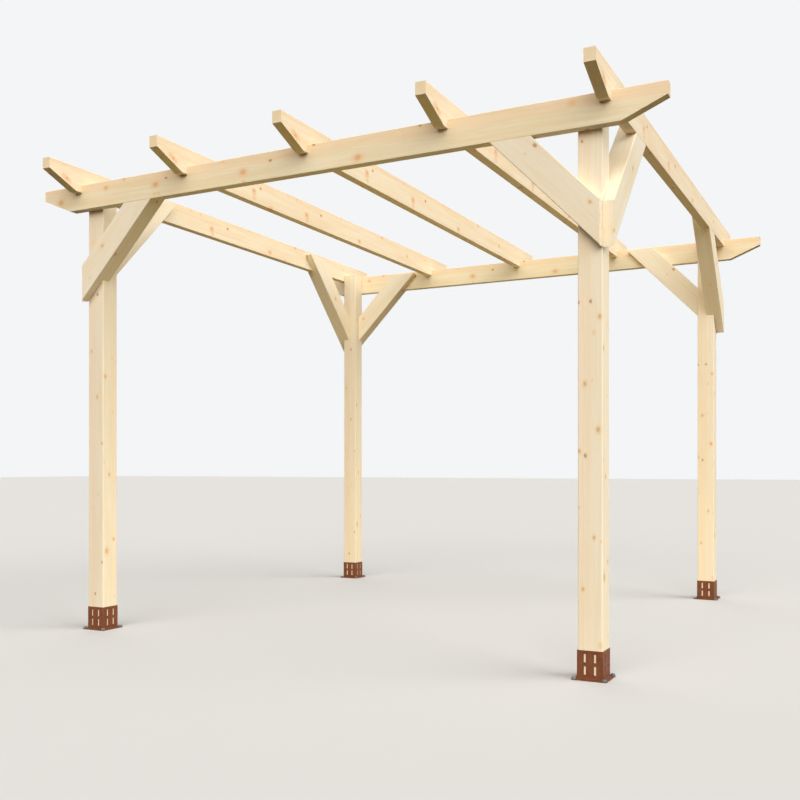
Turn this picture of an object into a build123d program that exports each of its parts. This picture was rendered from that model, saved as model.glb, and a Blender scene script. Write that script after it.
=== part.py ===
"""Square garden pergola: four posts in bolt-down shoes, two beams, five rafters and eight half-lapped
braces.

The footprint's centre on the ground is the origin, X runs along the two beams, Y along the five
rafters and +Z is up.  All sizes are in millimetres.
"""
import math
import os

from build123d import *

# Posts
post_size = 95.0
post_spacing_x = 2480.0
post_spacing_y = 2480.0

# Beams and rafters are cut from boards of their own section
beam_thickness = 44.0
beam_depth = 120.0
beam_underside = 2058.0
rafter_thickness = 44.0
rafter_depth = 120.0
rafter_count = 5
rafter_notch = 38.0

# Shaped tails: an upright end cut, then a taper on the underside
tail_overhang = 204.0
tail_end_height = 50.0
tail_taper_run = 171.0

# Braces: square-edged timber, half lapped at both ends
brace_angle = 45.5
brace_width = 120.0
brace_inner_thickness = 43.0
brace_foot_drop = 442.0
beam_brace_top_setback = 18.0
rafter_brace_top_setback = 28.0

# Bolt-down shoes
sleeve_height = 107.0
sleeve_wall = 2.5
sleeve_clearance = 0.5
sleeve_corner_radius = 3.5
plate_border = 17.5
plate_thickness = 4.0
plate_corner_radius = 6.0
bolt_edge_distance = 10.0
bolt_hole_diameter = 11.0

# Slots in each face of a sleeve: two columns of two
slot_width = 8.0
slot_length = 32.0
slot_rows = 2
slot_row_gap = 14.0
slot_column_spacing = 39.0
slot_top_margin = 12.5

# Places worked out from the sizes above
half_post = post_size / 2
beam_top = beam_underside + beam_depth
rafter_underside = beam_top - rafter_notch
rafter_top = rafter_underside + rafter_depth
beam_inner_y = post_spacing_y / 2 + half_post
beam_outer_y = beam_inner_y + beam_thickness
rafter_inner_x = post_spacing_x / 2 + half_post
rafter_outer_x = rafter_inner_x + rafter_thickness
beam_end_x = rafter_outer_x + tail_overhang
rafter_end_y = beam_outer_y + tail_overhang
brace_foot_z = beam_underside - brace_foot_drop
brace_slope = math.tan(math.radians(brace_angle))
sleeve_bore = post_size + 2 * sleeve_clearance
sleeve_outside = sleeve_bore + 2 * sleeve_wall
plate_side = sleeve_outside + 2 * plate_border
bolt_spacing = plate_side - 2 * bolt_edge_distance
post_foot_z = plate_thickness
ways = {"left": -1, "right": 1, "front": -1, "back": 1}
os.makedirs("parts", exist_ok=True)


def save(solid, name):
    """Write one piece to its own STEP file."""
    solid.label = name
    export_step(solid, f"parts/{name}.step")


def block(x0, x1, y0, y1, z0, z1):
    """A square-edged block between two corners, given in any order."""
    size = (abs(x1 - x0), abs(y1 - y0), abs(z1 - z0))
    return Pos((x0 + x1) / 2, (y0 + y1) / 2, (z0 + z1) / 2) * Box(*size)


def tail_profile(half_length, underside, depth):
    """The side view of a board whose two ends have the shaped tail."""
    top = underside + depth
    cut = top - tail_end_height
    flat = half_length - tail_taper_run
    right = [(flat, underside), (half_length, cut), (half_length, top)]
    left = [(-u, v) for u, v in reversed(right)]
    return right + left


def extrude_along_x(outline, x0, x1):
    """A solid from an outline in Y and Z, between two X planes."""
    face = make_face(Plane.YZ * Polyline(*outline, close=True))
    return Pos(min(x0, x1), 0, 0) * extrude(face, abs(x1 - x0), dir=(1, 0, 0))


def extrude_along_y(outline, y0, y1):
    """A solid from an outline in X and Z, between two Y planes."""
    points = [(u, 0, v) for u, v in outline]
    face = make_face(Polyline(*points, close=True))
    return Pos(0, min(y0, y1), 0) * extrude(face, abs(y1 - y0), dir=(0, 1, 0))


def make_post():
    """One post about its own centre line, from the shoe's plate to the top of the beams."""
    return block(-half_post, half_post, -half_post, half_post, post_foot_z, beam_top)


def make_beam(way):
    """The front or back beam, flat against the outer faces of its two posts."""
    outline = tail_profile(beam_end_x, beam_underside, beam_depth)
    return extrude_along_y(outline, way * beam_inner_y, way * beam_outer_y)


def make_rafter(x_centre):
    """One rafter, notched over both beams."""
    x0 = x_centre - rafter_thickness / 2
    outline = tail_profile(rafter_end_y, rafter_underside, rafter_depth)
    rafter = extrude_along_x(outline, x0, x0 + rafter_thickness)
    for way in (-1, 1):
        notch_sides = (way * beam_inner_y, way * beam_outer_y)
        rafter -= block(x0, x0 + rafter_thickness, *notch_sides, rafter_underside, beam_top)
    return rafter


def brace_layer(foot_u, top_z):
    """The side view of one half of a brace, with u measured inwards from the post's outer face.

    The band climbs at the brace's angle.  It is cut upright at foot_u and level at top_z.
    """
    upright_cut = brace_width / math.cos(math.radians(brace_angle))
    level_cut = upright_cut / brace_slope
    foot_z = brace_foot_z + foot_u * brace_slope
    top_u = (top_z - brace_foot_z) / brace_slope
    return [(foot_u, foot_z), (top_u, top_z), (top_u - level_cut, top_z), (foot_u, foot_z + upright_cut)]


def brace_outlines(shoulder_z, top_z):
    """Side views of the outer half, over the post, and of the inner half, over the beam or rafter."""
    return brace_layer(0.0, shoulder_z), brace_layer(post_size, top_z)


def make_beam_brace(side, way):
    """A brace from a post to the front or back beam."""
    outer, inner = brace_outlines(beam_underside, beam_top - beam_brace_top_setback)
    post_face_x = side * (post_spacing_x / 2 + half_post)

    def place(outline):
        return [(post_face_x - side * u, z) for u, z in outline]

    inner_face_y = beam_inner_y - brace_inner_thickness
    brace = extrude_along_y(place(outer), way * beam_inner_y, way * beam_outer_y)
    brace += extrude_along_y(place(inner), way * inner_face_y, way * beam_inner_y)
    return brace


def make_rafter_brace(side, way):
    """A brace from a post to the left or right end rafter."""
    outer, inner = brace_outlines(rafter_underside, rafter_top - rafter_brace_top_setback)
    post_face_y = way * (post_spacing_y / 2 + half_post)

    def place(outline):
        return [(post_face_y - way * u, z) for u, z in outline]

    inner_face_x = rafter_inner_x - brace_inner_thickness
    brace = extrude_along_x(place(outer), side * rafter_inner_x, side * rafter_outer_x)
    brace += extrude_along_x(place(inner), side * inner_face_x, side * rafter_inner_x)
    return brace


def make_plate():
    """The shoe's base plate about its post's centre line, with four bolt holes."""
    outline = RectangleRounded(plate_side, plate_side, plate_corner_radius)
    holes = GridLocations(bolt_spacing, bolt_spacing, 2, 2) * Circle(bolt_hole_diameter / 2)
    return extrude(outline - holes, plate_thickness)


def make_sleeve():
    """The shoe's square sleeve about its post's centre line, slotted on all four faces."""
    outside = sleeve_outside
    ring = RectangleRounded(outside, outside, sleeve_corner_radius) - Rectangle(sleeve_bore, sleeve_bore)
    sleeve = Pos(0, 0, plate_thickness) * extrude(ring, sleeve_height)
    sleeve_top = plate_thickness + sleeve_height
    for row in range(slot_rows):
        slot_top = sleeve_top - slot_top_margin - row * (slot_length + slot_row_gap)
        for column in (-1, 1):
            middle = column * slot_column_spacing / 2
            near, far = middle - slot_width / 2, middle + slot_width / 2
            sleeve -= block(near, far, -outside, outside, slot_top - slot_length, slot_top)
            sleeve -= block(-outside, outside, near, far, slot_top - slot_length, slot_top)
    return sleeve


def main():
    """Make every piece in its place and write it."""
    rafter_span = 2 * rafter_inner_x + rafter_thickness
    for index in range(rafter_count):
        share = index / (rafter_count - 1) - 0.5
        save(make_rafter(share * rafter_span), f"rafter_{index + 1}")
    for way_name in ("front", "back"):
        way = ways[way_name]
        save(make_beam(way), f"beam_{way_name}")
        for side_name in ("left", "right"):
            side = ways[side_name]
            corner = f"{way_name}_{side_name}"
            centre = Pos(side * post_spacing_x / 2, way * post_spacing_y / 2, 0)
            save(centre * make_post(), f"post_{corner}")
            save(centre * make_plate(), f"shoe_plate_{corner}")
            save(centre * make_sleeve(), f"shoe_sleeve_{corner}")
            save(make_beam_brace(side, way), f"beam_brace_{corner}")
            save(make_rafter_brace(side, way), f"rafter_brace_{corner}")


main()
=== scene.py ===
"""Dresses the pergola's CAD frame as it stands in the photograph.

The frame's timbers become planed spruce with eased arrises, growth rings and knots, its shoes
become powder-coated steel with a weld bead round each foot, and hex bolts with washers hold them
down.  Everything is in metres in the CAD's own frame: X along the beams, Y along the rafters, +Z
up, the ground at zero.
"""
import logging
import math
import random
from dataclasses import dataclass
from enum import Enum
from typing import Sequence

import bmesh
import bpy
from bmesh.types import BMesh
from bpy.types import Material, Node, NodeSocket, NodeTree
from mathutils import Euler, Matrix, Vector


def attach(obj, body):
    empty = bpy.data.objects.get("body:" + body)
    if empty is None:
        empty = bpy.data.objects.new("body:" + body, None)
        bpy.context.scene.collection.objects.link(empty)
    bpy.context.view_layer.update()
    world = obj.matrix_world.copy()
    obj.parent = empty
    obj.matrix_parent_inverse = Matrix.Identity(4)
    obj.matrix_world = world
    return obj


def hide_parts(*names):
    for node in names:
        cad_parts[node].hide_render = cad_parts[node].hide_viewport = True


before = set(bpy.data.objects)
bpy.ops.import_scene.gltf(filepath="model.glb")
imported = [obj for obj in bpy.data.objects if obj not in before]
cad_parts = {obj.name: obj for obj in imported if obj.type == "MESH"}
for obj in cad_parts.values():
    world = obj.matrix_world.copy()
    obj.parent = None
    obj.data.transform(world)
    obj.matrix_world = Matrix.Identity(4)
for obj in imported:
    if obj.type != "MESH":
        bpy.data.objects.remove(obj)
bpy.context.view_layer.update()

LOG = logging.getLogger("pergola")
MM = 0.001
IMAGE_PIXELS = 800
BODY = "root"
ALONG_X, ALONG_Y, UP = Vector((1, 0, 0)), Vector((0, 1, 0)), Vector((0, 0, 1))
# Settings that many nodes share
SMOOTH, RGBA = {"interpolation_type": "SMOOTHSTEP"}, {"data_type": "RGBA"}


# Colour and node helpers


def hex_to_linear(code: str) -> tuple[float, float, float, float]:
    """Turn an sRGB hex colour into a linear RGBA value.

    Args:
        code: Six hex digits.

    Returns:
        Linear red, green, blue and an alpha of one.
    """
    channels = []
    for start in (0, 2, 4):
        value = int(code[start:start + 2], 16) / 255
        channels.append(value / 12.92 if value <= 0.04045 else ((value + 0.055) / 1.055) ** 2.4)
    return (*channels, 1.0)


def connect(tree: NodeTree, node: Node, inputs: dict) -> None:
    """Give a node's sockets their values and links.

    Args:
        tree: The node tree that holds the node.
        node: The node.
        inputs: Socket name or index, to a plain value, a hex colour, a socket to link from, or
            a node, which stands for its first output in use.
    """
    for key, value in inputs.items():
        if isinstance(value, str):
            value = hex_to_linear(value)
        if isinstance(value, Node):
            value = next(socket for socket in value.outputs if socket.enabled)
        if isinstance(value, NodeSocket):
            tree.links.new(value, node.inputs[key])
        else:
            node.inputs[key].default_value = value


def add_node(tree: NodeTree, kind: str, inputs: dict | None = None, **settings: object) -> Node:
    """Add one node with its settings, socket values and links.

    Args:
        tree: The node tree to add to.
        kind: The node's type name without the ShaderNode prefix.
        inputs: What its sockets take, as connect has it.
        **settings: Attributes to set on the node.

    Returns:
        The new node.
    """
    node = tree.nodes.new("ShaderNode" + kind)
    for name, value in settings.items():
        setattr(node, name, value)
    connect(tree, node, inputs or {})
    return node


def new_material(name: str) -> tuple[Material, NodeTree, Node]:
    """Make an empty material with a Principled shader.

    Args:
        name: The material's name.

    Returns:
        The material, its node tree and its Principled node.
    """
    material = bpy.data.materials.new(name)
    material.use_nodes = True
    tree = material.node_tree
    tree.nodes.clear()
    shader = add_node(tree, "BsdfPrincipled")
    add_node(tree, "OutputMaterial", {"Surface": shader})
    return material, tree, shader


# Knots and the run of the grain


class KnotKind(Enum):
    """How a branch shows where the saw met it."""

    BLUSH = "a live branch just under the face, which only warms the wood"
    LIVE = "a live branch, grown into the wood: peach-coloured, with a soft edge"
    DEAD = "a dead branch: small, darker and sharp"


BLUSH, LIVE, DEAD = KnotKind.BLUSH, KnotKind.LIVE, KnotKind.DEAD

# A row in a table of knots: two millimetre places, the radius in millimetres, and the kind
Mark = tuple[float, float, float, KnotKind]

# Knots where the photograph shows none: how far apart their whorls are, how far from the timber's
# end the last one is, what is drawn from, the share that is kept, and the room between two knots
WHORL_PITCH_MM = 360.0
END_ROOM_MM = 20.0
DRAWN_RADII_MM = (5.0, 6.0, 7.0, 9.0, 12.0)
LARGEST_DEAD_MM = 7.0
DRAWN_KINDS = (BLUSH, LIVE, LIVE, DEAD)
KEPT_SHARE = 0.7
ROOM_IN_RADII = 2.5


@dataclass(frozen=True)
class Knot:
    """A knot on a timber's surface, in the CAD's frame."""

    x_mm: float
    y_mm: float
    z_mm: float
    radius_mm: float
    kind: KnotKind

    def place(self) -> Vector:
        """The knot's centre in millimetres."""
        return Vector((self.x_mm, self.y_mm, self.z_mm))


@dataclass(frozen=True)
class Grain:
    """How one timber was sawn from its log.

    The growth rings lie round the pith, a line through pith_mm along the grain.  Inside
    heart_radius_mm is heartwood, and tone makes a timber a little darker or paler than its fellows.
    """

    direction: tuple[float, float, float]
    pith_mm: tuple[float, float, float]
    heart_radius_mm: float
    tone: float

    def turn(self) -> Euler:
        """The rotation that takes X to the grain's direction."""
        return ALONG_X.rotation_difference(Vector(self.direction)).to_euler()


@dataclass(frozen=True)
class Face:
    """A long face that the photograph doesn't show: its middle line's offset and half width."""

    middle_mm: Vector
    half_mm: Vector


def whorls(low: float, high: float, faces: Sequence[Face], run: Vector, seed: int,
           placed: Sequence[Knot]) -> list[Knot]:
    """Scatter knots along a timber's unseen faces in whorls, as branches leave a stem.

    Args:
        low: Where the timber starts along its run, in millimetres.
        high: Where it ends.
        faces: The faces that get knots.
        run: The unit vector along the timber.
        seed: Seed for this timber's draws.
        placed: Knots that are already there, which new ones stay clear of.

    Returns:
        The new knots.
    """
    draw = random.Random(seed)
    found: list[Knot] = []
    at = low + draw.uniform(0.2, 0.8) * WHORL_PITCH_MM
    while at < high - END_ROOM_MM:
        for face in faces:
            along = run * (at + draw.gauss(0, 0.1) * WHORL_PITCH_MM)
            spot = along + face.middle_mm + face.half_mm * draw.uniform(-0.9, 0.9)
            radius = draw.choice(DRAWN_RADII_MM)
            kind = draw.choice(DRAWN_KINDS)
            if kind is DEAD:
                radius = min(radius, LARGEST_DEAD_MM)
            clear = all((spot - knot.place()).length > ROOM_IN_RADII * (radius + knot.radius_mm)
                        for knot in [*placed, *found])
            if clear and draw.random() < KEPT_SHARE:
                found.append(Knot(*spot, radius, kind))
        at += draw.uniform(0.6, 1.3) * WHORL_PITCH_MM
    return found


# Finishes


@dataclass(frozen=True)
class PlanedSpruce:
    """Untreated European spruce, sawn and planed: pale cream with fine, even growth rings.

    The thin summer bands of the rings draw faint honey lines along each face and arcs across its
    ends, the log's heart is a little pinker than its sapwood, and small tight knots sit in peach
    haloes that the grain flows round.
    """

    spring_wood: str = "EDE2C9"
    heart_wood: str = "EDDDC1"
    summer_wood: str = "DCBD8C"
    streak: str = "E9D6B3"
    blush: str = "E8C693"
    live_knot: str = "D9B68D"
    live_rim: str = "CEA97D"
    dead_knot: str = "C19F76"
    dead_rim: str = "AF8D63"
    end_grain: str = "E3D1A7"
    # Painted shade: a warm tint that makes the tails' tapered undersides yellower
    taper_painted_shade: str = "F3DC8C"
    # A year's ring, how strongly its summer band shows at most, and at what share of the year
    # the band starts, is darkest and begins to end
    ring_mm: float = 3.4
    ring_share: float = 0.22
    summer_band: tuple[float, float, float] = (0.3, 0.88, 0.9)
    # Runs of good and poor years, how many rings they shift, and runs of strong and faint bands
    season_mm: float = 12.0
    season_rings: float = 3.0
    contrast_mm: float = 5.0
    # How far the rings wander, and over what length along and across the grain
    wander_mm: float = 12.0
    wander_along_mm: float = 700.0
    wander_across_mm: float = 150.0
    # How far the rings swing out round a knot, and how softly the heart turns to sapwood
    bulge_mm: float = 7.0
    heart_blur_mm: float = 7.0
    # Widths of broad zones, streaks and single fibres
    zone_mm: float = 34.0
    streak_mm: float = 9.0
    fibre_mm: float = 0.9
    # A knot's ragged outline, and its width over its length along the grain
    ripple_mm: float = 7.0
    ripple_reach_mm: float = 2.5
    knot_squeeze: float = 0.7
    far_from_knots: float = 50.0
    # The planed surface
    roughness: float = 0.66
    ior: float = 1.5
    specular: float = 0.22
    relief_mm: float = 0.15

    def material(self, name: str, grain: Grain, knots: Sequence[Knot]) -> Material:
        """Build the finish for one timber.

        Args:
            name: The material's name.
            grain: The timber's grain.
            knots: Its knots.

        Returns:
            The material.
        """
        material, tree, shader = new_material(name)
        place = add_node(tree, "TexCoord").outputs["Object"]
        mm = add_node(tree, "VectorMath", {0: place, 1: (1 / MM, 1 / MM, 1 / MM)},
                      operation="MULTIPLY")
        local = add_node(tree, "Mapping",
                         {"Vector": mm, "Location": grain.pith_mm, "Rotation": grain.turn()},
                         vector_type="TEXTURE")
        near = {kind: self.knot_distance(tree, local, grain,
                                         [knot for knot in knots if knot.kind is kind])
                for kind in KnotKind}
        rings, radius = self.rings(tree, local, near)
        colour = self.wood(tree, local, grain, rings, radius)
        colour = self.knots(tree, colour, near)
        fuzz = self.fibres(tree, local, self.fibre_mm, 30.0)
        height = add_node(tree, "Math", {0: rings, 1: 0.5, 2: fuzz}, operation="MULTIPLY_ADD")
        bump = add_node(tree, "Bump", {"Height": height, "Strength": 0.2,
                                       "Distance": self.relief_mm * MM})
        connect(tree, shader, {"Base Color": colour, "Roughness": self.roughness, "IOR": self.ior,
                               "Specular IOR Level": self.specular, "Normal": bump})
        return material

    def fibres(self, tree: NodeTree, local: Node, width_mm: float, stretch: float) -> Node:
        """Add noise drawn out along the grain.

        Args:
            tree: The material's nodes.
            local: Coordinates along and about the pith, in millimetres.
            width_mm: The width of one streak.
            stretch: Its length over its width.

        Returns:
            The noise node.
        """
        fine = 1 / width_mm
        way = add_node(tree, "VectorMath", {0: local, 1: (fine / stretch, fine, fine)},
                       operation="MULTIPLY")
        return add_node(tree, "TexNoise", {"Vector": way, "Scale": 1.0, "Roughness": 0.55})

    def knot_distance(self, tree: NodeTree, local: Node, grain: Grain,
                      knots: Sequence[Knot]) -> Node:
        """Give the distance to the nearest of some knots, in its own radii.

        Args:
            tree: The material's nodes.
            local: Coordinates along and about the pith, in millimetres.
            grain: The timber's grain.
            knots: The knots, all of one kind.

        Returns:
            The node that gives it, large where there is none.
        """
        squeeze, reach = Vector((self.knot_squeeze, 1.0, 1.0)), self.ripple_reach_mm
        ripple = add_node(tree, "TexNoise", {"Vector": local, "Scale": 1 / self.ripple_mm})
        shift = add_node(tree, "VectorMath",
                         {0: ripple.outputs["Color"], 1: (2 * reach, 2 * reach, 2 * reach),
                          2: (-reach, -reach, -reach)}, operation="MULTIPLY_ADD")
        moved = add_node(tree, "VectorMath", {0: local, 1: shift}, operation="ADD")
        squeezed = add_node(tree, "VectorMath", {0: moved, 1: squeeze}, operation="MULTIPLY")
        back = grain.turn().to_matrix().transposed()
        nearest = add_node(tree, "Value")
        nearest.outputs[0].default_value = self.far_from_knots
        for knot in knots:
            centre = back @ (knot.place() - Vector(grain.pith_mm)) * squeeze
            apart = add_node(tree, "VectorMath", {0: squeezed, 1: centre}, operation="DISTANCE")
            radii = add_node(tree, "Math", {0: apart, 1: 1 / knot.radius_mm}, operation="MULTIPLY")
            nearest = add_node(tree, "Math", {0: nearest, 1: radii}, operation="MINIMUM")
        return nearest

    def rings(self, tree: NodeTree, local: Node, near: dict[KnotKind, Node]) -> tuple[Node, Node]:
        """Give the growth rings.

        Args:
            tree: The material's nodes.
            local: Coordinates along and about the pith, in millimetres.
            near: Distance to the nearest knot of each kind.

        Returns:
            The share of summer wood from zero to one, and the distance from the pith.
        """
        along, across = 1 / self.wander_along_mm, 1 / self.wander_across_mm
        slow = add_node(tree, "VectorMath", {0: local, 1: (along, across, across)},
                        operation="MULTIPLY")
        drift = add_node(tree, "TexNoise",
                         {"Vector": slow, "Scale": 1.0, "Detail": 3.0, "Roughness": 0.42})
        reach = self.wander_mm
        sway = add_node(tree, "VectorMath",
                        {0: drift.outputs["Color"], 1: (0.0, 2 * reach, 2 * reach),
                         2: (0.0, -reach, -reach)}, operation="MULTIPLY_ADD")
        wavy = add_node(tree, "VectorMath", {0: local, 1: sway}, operation="ADD")
        flat = add_node(tree, "VectorMath", {0: wavy, 1: (0.0, 1.0, 1.0)}, operation="MULTIPLY")
        radius = add_node(tree, "VectorMath", {0: flat}, operation="LENGTH")
        any_knot = add_node(tree, "Math", {0: near[LIVE], 1: near[DEAD]}, operation="MINIMUM")
        any_knot = add_node(tree, "Math", {0: any_knot, 1: near[BLUSH]}, operation="MINIMUM")
        bulge = add_node(tree, "MapRange",
                         {"Value": any_knot, "From Min": 0.2, "From Max": 2.4,
                          "To Min": self.bulge_mm, "To Max": 0.0},
                         interpolation_type="SMOOTHERSTEP")
        around = add_node(tree, "Math", {0: radius, 1: bulge}, operation="ADD")
        seasons = add_node(tree, "TexNoise",
                           {"W": around, "Scale": 1 / self.season_mm, "Detail": 1.0},
                           noise_dimensions="1D")
        years = add_node(tree, "Math", {0: around, 1: 1 / self.ring_mm}, operation="MULTIPLY")
        phase = add_node(tree, "Math", {0: seasons, 1: self.season_rings, 2: years},
                         operation="MULTIPLY_ADD")
        part = add_node(tree, "Math", {0: phase}, operation="FRACT")
        start, darkest, end = self.summer_band
        rise = add_node(tree, "MapRange", {"Value": part, "From Min": start, "From Max": darkest},
                        **SMOOTH)
        fall = add_node(tree, "MapRange", {"Value": part, "From Min": end, "To Min": 1.0,
                                           "To Max": 0.0}, **SMOOTH)
        return add_node(tree, "Math", {0: rise, 1: fall}, operation="MULTIPLY"), around

    def wood(self, tree: NodeTree, local: Node, grain: Grain, rings: Node, radius: Node) -> Node:
        """Mix the clear wood's colours.

        Args:
            tree: The material's nodes.
            local: Coordinates along and about the pith, in millimetres.
            grain: The timber's grain.
            rings: The share of summer wood.
            radius: Distance from the pith.

        Returns:
            The colour node.
        """
        inner = grain.heart_radius_mm - self.heart_blur_mm
        outer = grain.heart_radius_mm + self.heart_blur_mm
        heart = add_node(tree, "MapRange", {"Value": radius, "From Min": inner, "From Max": outer,
                                            "To Min": 0.9, "To Max": 0.0}, **SMOOTH)
        layers = [(heart, self.heart_wood)]
        # Broad soft zones, then streaks: width, length over width, and share at the strongest
        for width, stretch, share in ((self.zone_mm, 11.0, 0.45), (self.streak_mm, 40.0, 0.4)):
            soft = self.fibres(tree, local, width, stretch)
            streak = add_node(tree, "MapRange", {"Value": soft, "From Min": 0.4, "From Max": 0.68,
                                                 "To Max": share}, **SMOOTH)
            layers.append((streak, self.streak))
        runs = add_node(tree, "TexNoise", {"W": radius, "Scale": 1 / self.contrast_mm},
                        noise_dimensions="1D")
        strength = add_node(tree, "MapRange", {"Value": runs, "From Min": 0.42, "From Max": 0.75,
                                               "To Min": 0.02, "To Max": self.ring_share},
                            **SMOOTH)
        line = add_node(tree, "Math", {0: rings, 1: strength}, operation="MULTIPLY")
        # The squarer a face is cut across the grain, the more it has the end grain's colour
        normal = add_node(tree, "NewGeometry").outputs["Normal"]
        facing = add_node(tree, "VectorMath", {0: normal, 1: grain.direction},
                          operation="DOT_PRODUCT")
        across = add_node(tree, "Math", {0: facing}, operation="ABSOLUTE")
        cut = add_node(tree, "MapRange", {"Value": across, "From Min": 0.55, "From Max": 0.98,
                                          "To Max": 0.5}, **SMOOTH)
        # The tails' tapers, whose slope has a sine of 0.38, get painted shade: a warm tint that
        # turns the wood a little yellower there, for the warm bounced light in the shade under them
        taper_faces = add_node(tree, "Math", {0: across, 1: 0.38, 2: 0.08}, operation="COMPARE")
        painted_shade_share = add_node(tree, "Math", {0: taper_faces, 1: 0.4}, operation="MULTIPLY")
        layers += [(line, self.summer_wood), (cut, self.end_grain), (painted_shade_share, self.taper_painted_shade)]
        colour: Node | str = self.spring_wood
        for share, tint in layers:
            colour = add_node(tree, "Mix", {0: share, 6: colour, 7: tint}, **RGBA)
        hairs = self.fibres(tree, local, self.fibre_mm, 55.0)
        shade = add_node(tree, "MapRange", {"Value": hairs, "From Min": 0.25, "From Max": 0.75,
                                            "To Min": 0.95 * grain.tone,
                                            "To Max": 1.04 * grain.tone})
        return add_node(tree, "Mix", {0: 1.0, 6: colour, 7: shade}, blend_type="MULTIPLY", **RGBA)

    def knots(self, tree: NodeTree, colour: Node, near: dict[KnotKind, Node]) -> Node:
        """Lay the knots over the wood: a wide halo, then a core with a thin darker rim.

        Args:
            tree: The material's nodes.
            colour: The clear wood.
            near: Distance to the nearest knot of each kind.

        Returns:
            The colour node.
        """
        # Kind, the radii where the tint starts to fade and where it ends, its share, and the tint
        layers = ((BLUSH, 0.0, 1.6, 0.8, self.blush),
                  (LIVE, 0.2, 2.5, 0.75, self.blush),
                  (LIVE, 0.3, 1.15, 0.85, self.live_rim),
                  (LIVE, 0.0, 0.75, 0.9, self.live_knot),
                  (DEAD, 0.4, 2.1, 0.6, self.blush),
                  (DEAD, 0.45, 1.1, 0.95, self.dead_rim),
                  (DEAD, 0.2, 0.7, 1.0, self.dead_knot))
        for kind, inner, outer, share, tint in layers:
            fade = {"From Min": inner, "From Max": outer, "To Min": share, "To Max": 0.0}
            cover = add_node(tree, "MapRange", {"Value": near[kind], **fade}, **SMOOTH)
            colour = add_node(tree, "Mix", {0: cover, 6: colour, 7: tint}, **RGBA)
        return colour


@dataclass(frozen=True)
class PowderCoatedSteel:
    """Mild steel under a matt red-brown powder coat: a dull sheen over a fine orange-peel skin."""

    coat: str = "703F27"
    worn: str = "7B4A2D"
    cloud_mm: float = 24.0
    peel_mm: float = 1.1
    peel_depth_mm: float = 0.08
    roughness: float = 0.5
    specular: float = 0.22

    def material(self, name: str) -> Material:
        """Build the finish.

        Args:
            name: The material's name.

        Returns:
            The material.
        """
        material, tree, shader = new_material(name)
        place = add_node(tree, "TexCoord").outputs["Object"]
        clouds = add_node(tree, "TexNoise",
                          {"Vector": place, "Scale": 1 / (self.cloud_mm * MM), "Detail": 5.0})
        share = add_node(tree, "MapRange", {"Value": clouds, "From Min": 0.35, "From Max": 0.7},
                         **SMOOTH)
        colour = add_node(tree, "Mix", {0: share, 6: self.coat, 7: self.worn}, **RGBA)
        skin = add_node(tree, "TexNoise",
                        {"Vector": place, "Scale": 1 / (self.peel_mm * MM), "Detail": 1.0})
        bump = add_node(tree, "Bump", {"Height": skin, "Strength": 0.25,
                                       "Distance": self.peel_depth_mm * MM})
        connect(tree, shader, {"Base Color": colour, "Normal": bump, "Roughness": self.roughness,
                               "Specular IOR Level": self.specular})
        return material


@dataclass(frozen=True)
class ZincPlatedSteel:
    """Zinc-plated steel, as on bolts and washers: a satin mid grey with faint crystal flakes."""

    light: str = "A5A8A8"
    dark: str = "787C7D"
    flake_mm: float = 2.5
    roughness: float = 0.36

    def material(self, name: str) -> Material:
        """Build the finish.

        Args:
            name: The material's name.

        Returns:
            The material.
        """
        material, tree, shader = new_material(name)
        place = add_node(tree, "TexCoord").outputs["Object"]
        flakes = add_node(tree, "TexVoronoi", {"Vector": place, "Scale": 1 / (self.flake_mm * MM)})
        share = add_node(tree, "SeparateColor", {0: flakes.outputs["Color"]})
        colour = add_node(tree, "Mix", {0: share, 6: self.dark, 7: self.light}, **RGBA)
        connect(tree, shader, {"Base Color": colour, "Metallic": 1.0,
                               "Roughness": self.roughness})
        return material


# Shapes

# CAD points this near are one point, faces this flat to each other are one face, and an edge
# whose direction's cosine with the grain is over this one runs along it
MERGE_MM = 0.01
FLAT_DEG = 0.5
ALONG_COSINE = 0.999


def finish_piece(shape: BMesh, name: str, material: Material) -> bpy.types.Object:
    """Turn a bmesh into a piece at the origin that rides on the body.

    Args:
        shape: The shape, in metres in the CAD's frame.
        name: The piece's name.
        material: Its finish.

    Returns:
        The piece.
    """
    data = bpy.data.meshes.new(name)
    shape.to_mesh(data)
    shape.free()
    data.materials.append(material)
    piece = bpy.data.objects.new(name, data)
    bpy.context.scene.collection.objects.link(piece)
    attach(piece, BODY)
    LOG.info("%s: %d faces", name, len(data.polygons))
    return piece


def eased_copy(node: str, ease_mm: float, steps: int, sharp_deg: float,
               along: Vector | None = None) -> BMesh:
    """Copy a CAD node's shape and round its outer edges.

    Args:
        node: The CAD node's name.
        ease_mm: How far the rounding reaches from each edge.
        steps: Segments across the rounding.
        sharp_deg: The least turn between two faces that counts as an edge.
        along: Where given, only the edges that run this way are rounded.

    Returns:
        The eased shape.
    """
    shape = bmesh.new()
    shape.from_mesh(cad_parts[node].data)
    bmesh.ops.remove_doubles(shape, verts=shape.verts, dist=MERGE_MM * MM)
    bmesh.ops.dissolve_limit(shape, angle_limit=math.radians(FLAT_DEG), verts=shape.verts,
                             edges=shape.edges)
    edges = []
    for edge in shape.edges:
        run = (edge.verts[0].co - edge.verts[1].co).normalized()
        if (edge.is_manifold and edge.is_convex
                and edge.calc_face_angle() > math.radians(sharp_deg)
                and (along is None or abs(run.dot(along)) > ALONG_COSINE)):
            edges.append(edge)
    bmesh.ops.bevel(shape, geom=edges, offset=ease_mm * MM, offset_type="OFFSET", segments=steps,
                    profile=0.5, affect="EDGES", clamp_overlap=True, material=-1)
    return shape


# Sub-assemblies


class Side(Enum):
    """Left or right, as the sign of X."""

    LEFT = -1
    RIGHT = 1


class Way(Enum):
    """Front or back, as the sign of Y."""

    FRONT = -1
    BACK = 1


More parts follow.
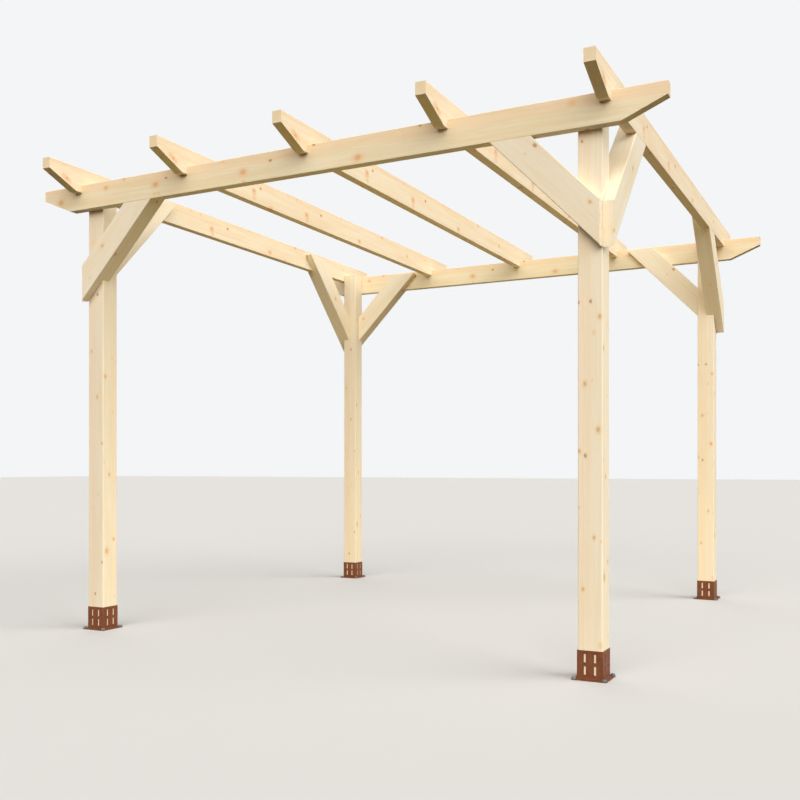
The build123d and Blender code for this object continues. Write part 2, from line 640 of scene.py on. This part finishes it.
@dataclass(frozen=True)
class Corner:
    """One corner of the plan."""

    way: Way
    side: Side

    def name(self) -> str:
        """The corner's part of a node's name."""
        return f"{self.way.name}_{self.side.name}".lower()

    def centre_mm(self, spacing_mm: float) -> Vector:
        """The centre line of the corner's post on the ground."""
        return Vector((self.side.value, self.way.value, 0)) * spacing_mm / 2


CORNERS = [Corner(way, side) for way in Way for side in Side]


@dataclass
class Timbers:
    """Timbers of one kind: the planer eases their long arrises, and their sawn ends are crisp.

    The pith's place and the heart's radius say how they were sawn from the log.  Where there is a
    log_step_mm, each timber is that much further along, so that no two show the same grain.
    """

    finish: PlanedSpruce = PlanedSpruce()
    arris_mm: float = 3.0
    arris_steps: int = 4
    arris_turn_deg: float = 20.0

    def dress(self, node: str, grain: Grain, knots: Sequence[Knot]) -> None:
        """Replace a CAD timber with its eased and finished piece.

        Args:
            node: The CAD node's name.
            grain: The timber's grain.
            knots: Its knots.
        """
        shape = eased_copy(node, self.arris_mm, self.arris_steps, self.arris_turn_deg,
                           Vector(grain.direction))
        wood = self.finish.material(node + "_wood", grain, knots)
        piece = finish_piece(shape, node + "_spruce", wood)
        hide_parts(node)


@dataclass
class Posts(Timbers):
    """The four square posts."""

    arris_mm: float = 4.5
    spacing_mm: float = 2480.0
    width_mm: float = 95.0
    height_mm: float = 2178.0
    pith_left_mm: float = 66.0
    pith_back_mm: float = 38.0
    heart_mm: float = 112.0
    log_step_mm: float = 900.0
    first_seed: int = 11
    # Each post's tone: partly its own random tone, partly painted light, the front-right post
    # lighter and the back-left post darker as the light falls on them
    tones_and_painted_light: tuple[float, ...] = (0.98, 1.04, 0.94, 1.0)
    # Knots as (across from the post's centre line, height, radius, kind), face by face
    right_posts_front: tuple[Mark, ...] = (
        (-31, 2020, 4.8, DEAD), (2, 1418, 6.2, DEAD), (37, 1359, 7, LIVE), (-44, 1417, 5, DEAD),
        (15, 1301, 7.5, BLUSH), (-20, 1110, 7.5, LIVE), (8, 1121, 5, BLUSH), (31, 938, 8.4, LIVE),
        (-18, 841, 6.6, DEAD), (-42, 857, 6, LIVE), (15, 534, 6, LIVE), (43, 521, 5, BLUSH),
        (-27, 340, 6, LIVE), (-42, 646, 5, BLUSH), (40, 134, 9, BLUSH))
    left_posts_front: tuple[Mark, ...] = (
        (11, 1646, 7, DEAD), (-28, 1368, 6, LIVE), (9, 1143, 7, LIVE), (40, 914, 5.4, LIVE),
        (16, 666, 7.6, BLUSH), (-16, 595, 5, BLUSH), (40, 332, 5.4, DEAD), (-4, 175, 6.4, DEAD),
        (-21, 1905, 7, BLUSH))
    all_posts_right: tuple[Mark, ...] = (
        (14, 1338, 7, BLUSH), (42, 1321, 5, BLUSH), (-32, 1243, 8, LIVE), (17, 1068, 6, BLUSH),
        (-39, 823, 6.4, BLUSH), (-6, 762, 7.2, LIVE), (24, 441, 7, LIVE), (-23, 386, 11.5, LIVE),
        (29, 158, 6.5, BLUSH), (1, 2004, 6, BLUSH), (-37, 1847, 4, BLUSH))

    def build(self) -> None:
        """Dress the posts."""
        half = self.width_mm / 2
        for number, corner in enumerate(CORNERS):
            centre = corner.centre_mm(self.spacing_mm)
            is_right = corner.side is Side.RIGHT
            front = self.right_posts_front if is_right else self.left_posts_front
            knots = [Knot(centre.x + u, centre.y - half, z, r, kind) for u, z, r, kind in front]
            knots += [Knot(centre.x + half, centre.y + u, z, r, kind)
                      for u, z, r, kind in self.all_posts_right]
            unseen = [Face(centre + half * ALONG_Y, half * ALONG_X),
                      Face(centre - half * ALONG_X, half * ALONG_Y)]
            knots += whorls(0, self.height_mm, unseen, UP, self.first_seed + number, knots)
            pith = (centre.x - self.pith_left_mm, centre.y + self.pith_back_mm,
                    -self.log_step_mm * number)
            grain = Grain((0, 0, 1), pith, self.heart_mm, self.tones_and_painted_light[number])
            self.dress("post_" + corner.name(), grain, knots)


@dataclass
class Boards(Timbers):
    """Long boards that stand on edge, with tapered tails."""

    half_length_mm: float = 1535.5
    depth_mm: float = 120.0
    thickness_mm: float = 44.0
    underside_mm: float = 2058.0
    pith_up_mm: float = 143.0
    log_step_mm: float = 4000.0

    def scattered(self, run: Vector, across: Vector, middle_mm: float, far_side: int, seed: int,
                  placed: Sequence[Knot]) -> list[Knot]:
        """Scatter knots on a board's two unseen faces, its far side and its underside.

        Args:
            run: The unit vector along the board.
            across: The unit vector through its thickness.
            middle_mm: Where the middle of its thickness is, along across.
            far_side: The sign of the far side, along across.
            seed: Seed for this board's draws.
            placed: Knots that are already there.

        Returns:
            The new knots.
        """
        middle = across * middle_mm + UP * self.underside_mm
        half_up, half_thick = self.depth_mm / 2 * UP, self.thickness_mm / 2 * across
        faces = [Face(middle + half_up + far_side * half_thick, half_up),
                 Face(middle, half_thick)]
        return whorls(-self.half_length_mm, self.half_length_mm, faces, run, seed, placed)


@dataclass
class Beams(Boards):
    """The front beam and the back beam."""

    finish: PlanedSpruce = PlanedSpruce(
        spring_wood="F0E4C3", heart_wood="F3DAB6", summer_wood="DFBB87", streak="E8D0A2",
        blush="EABD8A", live_knot="DFB484", live_rim="D7A978", dead_knot="B9946B",
        dead_rim="AA845B")
    outer_mm: float = 1331.5
    pith_back_mm: float = 26.0
    heart_mm: float = 72.0
    first_seed: int = 31
    tone: float = 0.96
    # Knots as (along, height above the underside, radius, kind), on the face that is seen
    fronts: tuple[Mark, ...] = (
        (-1427, 51, 13, LIVE), (-1131, 87, 9.5, LIVE), (-1016, 114, 7, LIVE), (-823, 62, 13, LIVE),
        (-828, 20, 7.5, BLUSH), (-804, 20, 7.5, BLUSH), (-759, 84, 5.6, DEAD),
        (-430, 110, 6.7, BLUSH), (-320, 49, 13.3, LIVE), (-317, 8, 8, BLUSH), (-174, 80, 6.6, DEAD),
        (50, 114, 5.6, DEAD), (266, 29, 13.3, LIVE), (555, 115, 5.4, DEAD), (1184, 96, 14, BLUSH))

    def build(self) -> None:
        """Dress the beams."""
        low = self.underside_mm
        for number, way in enumerate(Way):
            front_y = -self.outer_mm if way is Way.FRONT else self.outer_mm - self.thickness_mm
            knots = [Knot(u, front_y, low + h, r, kind) for u, h, r, kind in self.fronts]
            knots += self.scattered(ALONG_X, ALONG_Y, front_y + self.thickness_mm / 2, 1,
                                    self.first_seed + number, knots)
            pith = (-self.log_step_mm * number, front_y + self.pith_back_mm,
                    low + self.pith_up_mm)
            grain = Grain((1, 0, 0), pith, self.heart_mm, self.tone)
            self.dress("beam_" + way.name.lower(), grain, knots)


@dataclass
class Rafters(Boards):
    """The five rafters, from slightly warmer boards than the posts."""

    finish: PlanedSpruce = PlanedSpruce(
        spring_wood="F0E2C4", heart_wood="F0D9B7", summer_wood="E0B887", streak="EACBA0",
        blush="EABA8A", live_knot="DDAF81", live_rim="D5A475", dead_knot="B9946B",
        dead_rim="AA845B")
    underside_mm: float = 2140.0
    count: int = 5
    pitch_mm: float = 654.75
    pith_left_mm: float = 30.0
    pith_up_mm: float = 150.0
    heart_mm: float = 66.0
    first_seed: int = 51
    tone: float = 0.985
    # Knots as (along, height above the underside, radius, kind), on the face that is seen
    right_faces: tuple[Mark, ...] = (
        (-1428, 47, 8, LIVE), (-1446, 56, 14, BLUSH), (-1412, 38, 12, BLUSH), (-815, 58, 9.5, LIVE),
        (-814, 42, 12, BLUSH), (-812, 23, 11, BLUSH), (-758, 82, 6.4, DEAD),
        (-508, 106, 6.5, BLUSH), (-424, 107, 7, BLUSH), (-324, 49, 10.5, LIVE),
        (-321, 34, 12, BLUSH), (-318, 18, 10, BLUSH), (-174, 79, 7.4, DEAD), (49, 111, 7, BLUSH),
        (264, 26, 10, LIVE), (556, 111, 7.4, LIVE), (905, 60, 8, LIVE), (1180, 84, 7, BLUSH))

    def build(self) -> None:
        """Dress the rafters."""
        low = self.underside_mm
        for index in range(self.count):
            x = (index - (self.count - 1) / 2) * self.pitch_mm
            knots = [Knot(x + self.thickness_mm / 2, u, low + h, r, kind)
                     for u, h, r, kind in self.right_faces]
            knots += self.scattered(ALONG_Y, ALONG_X, x, -1, self.first_seed + index, knots)
            pith = (x - self.pith_left_mm, -self.log_step_mm * index, low + self.pith_up_mm)
            grain = Grain((0, 1, 0), pith, self.heart_mm, self.tone)
            self.dress(f"rafter_{index + 1}", grain, knots)


@dataclass
class Braces(Timbers):
    """The eight half-lapped braces."""

    finish: PlanedSpruce = PlanedSpruce(ring_share=0.13)
    arris_mm: float = 4.0
    tone: float = 1.0
    angle_deg: float = 45.5
    foot_mm: float = 1616.0
    post_face_mm: float = 1287.5
    outer_mm: float = 1331.5
    inner_mm: float = 1244.5
    pith_mm: float = 1385.0
    pith_rise_mm: float = 86.0
    heart_mm: float = 30.0
    # Knots as (distance from the pergola's middle, height, radius, kind), on the outer and inner
    # faces
    right_beam_braces: tuple[Mark, ...] = (
        (1039, 2019, 7.6, DEAD), (999, 1992, 6, BLUSH), (1252, 1778, 6.6, LIVE))
    left_beam_braces: tuple[Mark, ...] = ((1155, 1868, 7.7, LIVE), (1235, 1721, 6.3, BLUSH))
    rafter_braces: tuple[Mark, ...] = (
        (1286, 1674, 5.5, LIVE), (1120, 1875, 6, BLUSH), (1003, 1981, 9, LIVE))
    # Knots as (run from the foot, offset outwards from the middle, radius, kind), on undersides
    beam_brace_undersides: tuple[Mark, ...] = ((430, -5, 6, DEAD), (203, 28, 6.5, LIVE))
    rafter_brace_undersides: tuple[Mark, ...] = ((248, 3, 9, BLUSH),)

    def build(self) -> None:
        """Dress the braces."""
        for corner in CORNERS:
            side, way = corner.side.value * ALONG_X, corner.way.value * ALONG_Y
            is_right = corner.side is Side.RIGHT
            marks = self.right_beam_braces if is_right else self.left_beam_braces
            self.brace("beam_brace_" + corner.name(), side, way, marks,
                       self.beam_brace_undersides)
            self.brace("rafter_brace_" + corner.name(), way, side, self.rafter_braces,
                       self.rafter_brace_undersides)

    def brace(self, node: str, outwards: Vector, across: Vector, marks: Sequence[Mark],
              undersides: Sequence[Mark]) -> None:
        """Dress one brace.

        Args:
            node: The CAD node's name.
            outwards: The unit vector from the pergola's middle towards the brace's foot.
            across: The unit vector through the brace's thickness, towards its outer face.
            marks: The knots on its outer and inner faces.
            undersides: The knots on its underside.
        """
        lean = math.radians(self.angle_deg)
        knots = [Knot(*(outwards * u + across * face + UP * z), r, kind)
                 for u, z, r, kind in marks for face in (self.outer_mm, self.inner_mm)]
        for run, offset, r, kind in undersides:
            spot = outwards * (self.post_face_mm - run) + across * (self.post_face_mm + offset)
            spot += UP * (self.foot_mm + run * math.tan(lean))
            knots.append(Knot(*spot, r, kind))
        pith = outwards * self.post_face_mm + across * self.pith_mm
        pith += UP * (self.foot_mm + self.pith_rise_mm)
        direction = UP * math.sin(lean) - outwards * math.cos(lean)
        self.dress(node, Grain(tuple(direction), tuple(pith), self.heart_mm, self.tone), knots)


@dataclass
class Shoes:
    """The four bolt-down shoes, each with a weld bead, four bolts and four washers."""

    coat: PowderCoatedSteel = PowderCoatedSteel()
    zinc: ZincPlatedSteel = ZincPlatedSteel()
    spacing_mm: float = 2480.0
    bolt_spacing_mm: float = 116.0
    edge_mm: float = 0.4
    edge_steps: int = 2
    edge_turn_deg: float = 40.0
    plate_top_mm: float = 4.0
    sleeve_side_mm: float = 101.0
    sleeve_corner_mm: float = 3.5
    bead_mm: float = 2.6
    bead_sunk_mm: float = 0.4
    bead_corner_steps: int = 5
    washer_mm: float = 20.0
    washer_bore_mm: float = 10.5
    washer_thick_mm: float = 2.0
    washer_ease_mm: float = 0.3
    washer_steps: int = 32
    head_across_flats_mm: float = 16.0
    head_mm: float = 6.4
    head_ease_mm: float = 0.9
    shank_mm: float = 10.0
    shank_in_head_mm: float = 1.0
    shank_sides: int = 24

    def build(self) -> None:
        """Dress the plates and sleeves, lay the beads and set the bolts."""
        coated = self.coat.material("shoe_powder_coat")
        plated = self.zinc.material("bolt_zinc_plate")
        for corner in CORNERS:
            for part in ("plate", "sleeve"):
                node = f"shoe_{part}_{corner.name()}"
                shape = eased_copy(node, self.edge_mm, self.edge_steps, self.edge_turn_deg)
                piece = finish_piece(shape, node + "_coated", coated)
                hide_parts(node)
            bead = finish_piece(self.bead(corner), "shoe_weld_" + corner.name(), coated)
            finish_piece(self.bolts(corner), "shoe_bolts_" + corner.name(), plated)

    def bead(self, corner: Corner) -> BMesh:
        """Make the weld bead between a sleeve's foot and its plate.

        Args:
            corner: The shoe's corner.

        Returns:
            The bead in place: a ring of three rounded squares bridged to each other.
        """
        shape = bmesh.new()
        half_side, sunk = self.sleeve_side_mm / 2, self.bead_sunk_mm
        outlines = ((half_side + self.bead_mm, -sunk), (half_side - sunk, self.bead_mm),
                    (half_side - sunk, -sunk))
        loops = []
        for half, height in outlines:
            grid = bmesh.ops.create_grid(shape, x_segments=1, y_segments=1, size=half * MM)
            bmesh.ops.translate(shape, verts=grid["verts"], vec=(0, 0, height * MM))
            radius = self.sleeve_corner_mm + half - half_side
            rounded = bmesh.ops.bevel(shape, geom=grid["verts"], offset=radius * MM,
                                      offset_type="OFFSET", segments=self.bead_corner_steps,
                                      profile=0.5, affect="VERTICES", material=-1)
            corners = set(rounded["verts"])
            face = max((f for f in shape.faces if f.is_valid and set(f.verts) & corners),
                       key=lambda f: len(f.verts))
            loops.append(list(face.edges))
            bmesh.ops.delete(shape, geom=[face], context="FACES_ONLY")
        for first, second in ((0, 1), (1, 2), (2, 0)):
            bmesh.ops.bridge_loops(shape, edges=loops[first] + loops[second])
        bmesh.ops.recalc_face_normals(shape, faces=shape.faces)
        place = corner.centre_mm(self.spacing_mm) + Vector((0, 0, self.plate_top_mm))
        bmesh.ops.translate(shape, verts=shape.verts, vec=place * MM)
        return shape

    def bolts(self, corner: Corner) -> BMesh:
        """Make one shoe's four bolts and washers.

        Args:
            corner: The shoe's corner.

        Returns:
            The bolts in place, each turned as its spanner left it.
        """
        together = bmesh.new()
        draw = random.Random(corner.name())
        for dx in (-1, 1):
            for dy in (-1, 1):
                place = Vector((dx, dy, 0)) * self.bolt_spacing_mm / 2
                place += corner.centre_mm(self.spacing_mm)
                place.z = self.plate_top_mm
                turn = Matrix.Rotation(draw.uniform(0, math.pi / 3), 4, "Z")
                matrix = Matrix.Translation(place * MM) @ turn
                for shape in (self.washer(), self.head(), self.shank()):
                    bmesh.ops.transform(shape, matrix=matrix, verts=shape.verts)
                    data = bpy.data.meshes.new("bolt_part")
                    shape.to_mesh(data)
                    shape.free()
                    together.from_mesh(data)
                    bpy.data.meshes.remove(data)
        return together

    def washer(self) -> BMesh:
        """Make a flat washer that stands on the plate.

        Returns:
            The washer about its own middle.
        """
        shape = bmesh.new()
        high, ease = self.washer_thick_mm, self.washer_ease_mm
        bore, rim = self.washer_bore_mm / 2, self.washer_mm / 2
        outline = ((bore, 0.0), (rim, 0.0), (rim, high - ease), (rim - ease, high), (bore, high))
        points = [shape.verts.new((radius * MM, 0, height * MM)) for radius, height in outline]
        edges = [shape.edges.new(pair) for pair in zip(points, points[1:] + points[:1])]
        bmesh.ops.spin(shape, geom=points + edges, cent=(0, 0, 0), axis=(0, 0, 1),
                       angle=2 * math.pi, steps=self.washer_steps, use_merge=True)
        bmesh.ops.recalc_face_normals(shape, faces=shape.faces)
        return shape

    def head(self) -> BMesh:
        """Make a hex head that stands on the washer, with its top edges turned down.

        Returns:
            The head about its own middle.
        """
        shape = bmesh.new()
        radius, depth = self.head_across_flats_mm / math.sqrt(3) * MM, self.head_mm * MM
        bmesh.ops.create_cone(shape, cap_ends=True, segments=6, radius1=radius, radius2=radius,
                              depth=depth)
        tops = [edge for edge in shape.edges if all(vert.co.z > 0 for vert in edge.verts)]
        bmesh.ops.bevel(shape, geom=tops, offset=self.head_ease_mm * MM, offset_type="OFFSET",
                        segments=2, profile=0.5, affect="EDGES", clamp_overlap=True, material=-1)
        bmesh.ops.translate(shape, verts=shape.verts,
                            vec=(0, 0, self.washer_thick_mm * MM + depth / 2))
        return shape

    def shank(self) -> BMesh:
        """Make the bolt's shank, from inside the head down through the plate.

        Returns:
            The shank about its own middle.
        """
        shape = bmesh.new()
        low = -self.plate_top_mm * MM
        high = (self.washer_thick_mm + self.shank_in_head_mm) * MM
        radius = self.shank_mm / 2 * MM
        bmesh.ops.create_cone(shape, cap_ends=True, segments=self.shank_sides, radius1=radius,
                              radius2=radius, depth=high - low)
        bmesh.ops.translate(shape, verts=shape.verts, vec=(0, 0, (low + high) / 2))
        return shape


# The studio


@dataclass(frozen=True)
class SoftBox:
    """A wide soft light far off: where it stands and its brightness.

    Its azimuth is counted from the front of the frame to the right.
    """

    azimuth_deg: float
    height_deg: float
    strength: float
    reach_deg: float = 40.0

    def aim(self) -> Vector:
        """The unit vector towards the light."""
        turn, lift = math.radians(self.azimuth_deg), math.radians(self.height_deg)
        level = math.cos(lift)
        return Vector((math.sin(turn) * level, -math.cos(turn) * level, math.sin(lift)))


@dataclass
class Studio:
    """A plain pale floor, low soft light and the photograph's camera.

    Most of the light comes from the front and the right, and a little from the back left.
    """

    focal_pixels: float = 962.57
    yaw_deg: float = 27.184
    eye_m: tuple[float, float, float] = (2.25225, -4.81416, 0.79836)
    horizon_pixel: float = 467.0
    sensor_mm: float = 36.0
    view_end_m: float = 500.0
    # The floor as the camera sees it, and what it throws back up: near the middle, further out,
    # and the distances between which one turns to the other
    floor_half_m: float = 60.0
    floor_seen: str = "CFCDC9"
    floor_bounce: str = "F1DA98"
    floor_bounce_far: str = "1C1608"
    floor_bounce_m: tuple[float, float] = (0.8, 2.3)
    # The sky as the camera sees it, its even light, and the warmer light near the horizon, up to
    # the height's sine where it turns white
    sky_seen: str = "F4F5F6"
    sky_strength: float = 0.25
    horizon_light: str = "9A7438"
    horizon_height: float = 0.36
    soft_boxes: tuple[SoftBox, ...] = (SoftBox(12, 21, 5.0), SoftBox(90, 33, 4.3),
                                       SoftBox(-140, 14, 2.6))

    def build(self) -> None:
        """Make the floor, the light and the camera."""
        self.floor()
        self.world()
        self.camera()
        bpy.context.scene.view_settings.view_transform = "Standard"

    def seen_by_eye(self, tree: NodeTree) -> Node:
        """Tell what is seen, directly or in gloss or through glass, from what lights the frame.

        Args:
            tree: The node tree to add to.

        Returns:
            The node that gives one for camera, glossy and transmission rays, and zero for the rest.
        """
        path = add_node(tree, "LightPath").outputs
        either = add_node(tree, "Math", {0: path["Is Camera Ray"], 1: path["Is Glossy Ray"]},
                          operation="MAXIMUM")
        return add_node(tree, "Math", {0: either, 1: path["Is Transmission Ray"]},
                        operation="MAXIMUM")

    def floor(self) -> None:
        """Make a flat pale floor at the ground."""
        shape = bmesh.new()
        bmesh.ops.create_grid(shape, x_segments=1, y_segments=1, size=self.floor_half_m)
        data = bpy.data.meshes.new("floor")
        shape.to_mesh(data)
        shape.free()
        material, tree, shader = new_material("studio_floor")
        # What the floor throws back up is brightest and warmest close under the frame
        place = add_node(tree, "TexCoord").outputs["Object"]
        away = add_node(tree, "VectorMath", {0: place}, operation="LENGTH")
        near_m, far_m = self.floor_bounce_m
        far = add_node(tree, "MapRange", {"Value": away, "From Min": near_m, "From Max": far_m},
                       **SMOOTH)
        bounce = add_node(tree, "Mix", {0: far, 6: self.floor_bounce, 7: self.floor_bounce_far},
                          **RGBA)
        colour = add_node(tree, "Mix", {0: self.seen_by_eye(tree), 6: bounce, 7: self.floor_seen},
                          **RGBA)
        connect(tree, shader, {"Base Color": colour, "Roughness": 1.0, "Specular IOR Level": 0.0})
        data.materials.append(material)
        floor = bpy.data.objects.new("floor", data)
        bpy.context.scene.collection.objects.link(floor)

    def world(self) -> None:
        """Make a dim even sky with the soft boxes in it, that shows nearly white."""
        world = bpy.data.worlds.new("studio_sky")
        world.use_nodes = True
        tree = world.node_tree
        tree.nodes.clear()
        toward = add_node(tree, "TexCoord").outputs["Generated"]
        total: float | Node = self.sky_strength
        for box in self.soft_boxes:
            aim = add_node(tree, "VectorMath", {0: toward, 1: box.aim()}, operation="DOT_PRODUCT")
            edge = math.cos(math.radians(box.reach_deg))
            glow = add_node(tree, "MapRange",
                            {"Value": aim, "From Min": edge, "To Max": box.strength}, **SMOOTH)
            total = add_node(tree, "Math", {0: glow, 1: total}, operation="ADD")
        lift = add_node(tree, "SeparateXYZ", {0: toward}).outputs["Z"]
        above = add_node(tree, "MapRange", {"Value": lift, "From Max": self.horizon_height},
                         **SMOOTH)
        colour = add_node(tree, "Mix", {0: above, 6: self.horizon_light, 7: "FFFFFF"}, **RGBA)
        light = add_node(tree, "Background", {"Color": colour, "Strength": total})
        seen = add_node(tree, "Background", {"Color": self.sky_seen})
        mix = add_node(tree, "MixShader", {0: self.seen_by_eye(tree), 1: light, 2: seen})
        add_node(tree, "OutputWorld", {"Surface": mix})
        bpy.context.scene.world = world

    def camera(self) -> None:
        """Set the camera that was fitted to the photograph."""
        data = bpy.data.cameras.new("camera")
        data.sensor_width = self.sensor_mm
        data.lens = self.focal_pixels * self.sensor_mm / IMAGE_PIXELS
        data.shift_y = (self.horizon_pixel - IMAGE_PIXELS / 2) / IMAGE_PIXELS
        data.clip_end = self.view_end_m
        eye = bpy.data.objects.new("camera", data)
        eye.location = self.eye_m
        eye.rotation_euler = (math.radians(90), 0, math.radians(self.yaw_deg))
        bpy.context.scene.collection.objects.link(eye)
        bpy.context.scene.camera = eye


def main() -> None:
    """Build every sub-assembly."""
    logging.basicConfig(level=logging.INFO, format="%(message)s")
    for part in (Posts(), Beams(), Rafters(), Braces(), Shoes(), Studio()):
        LOG.info("building %s", type(part).__name__)
        part.build()


if __name__ == "__main__":
    main()
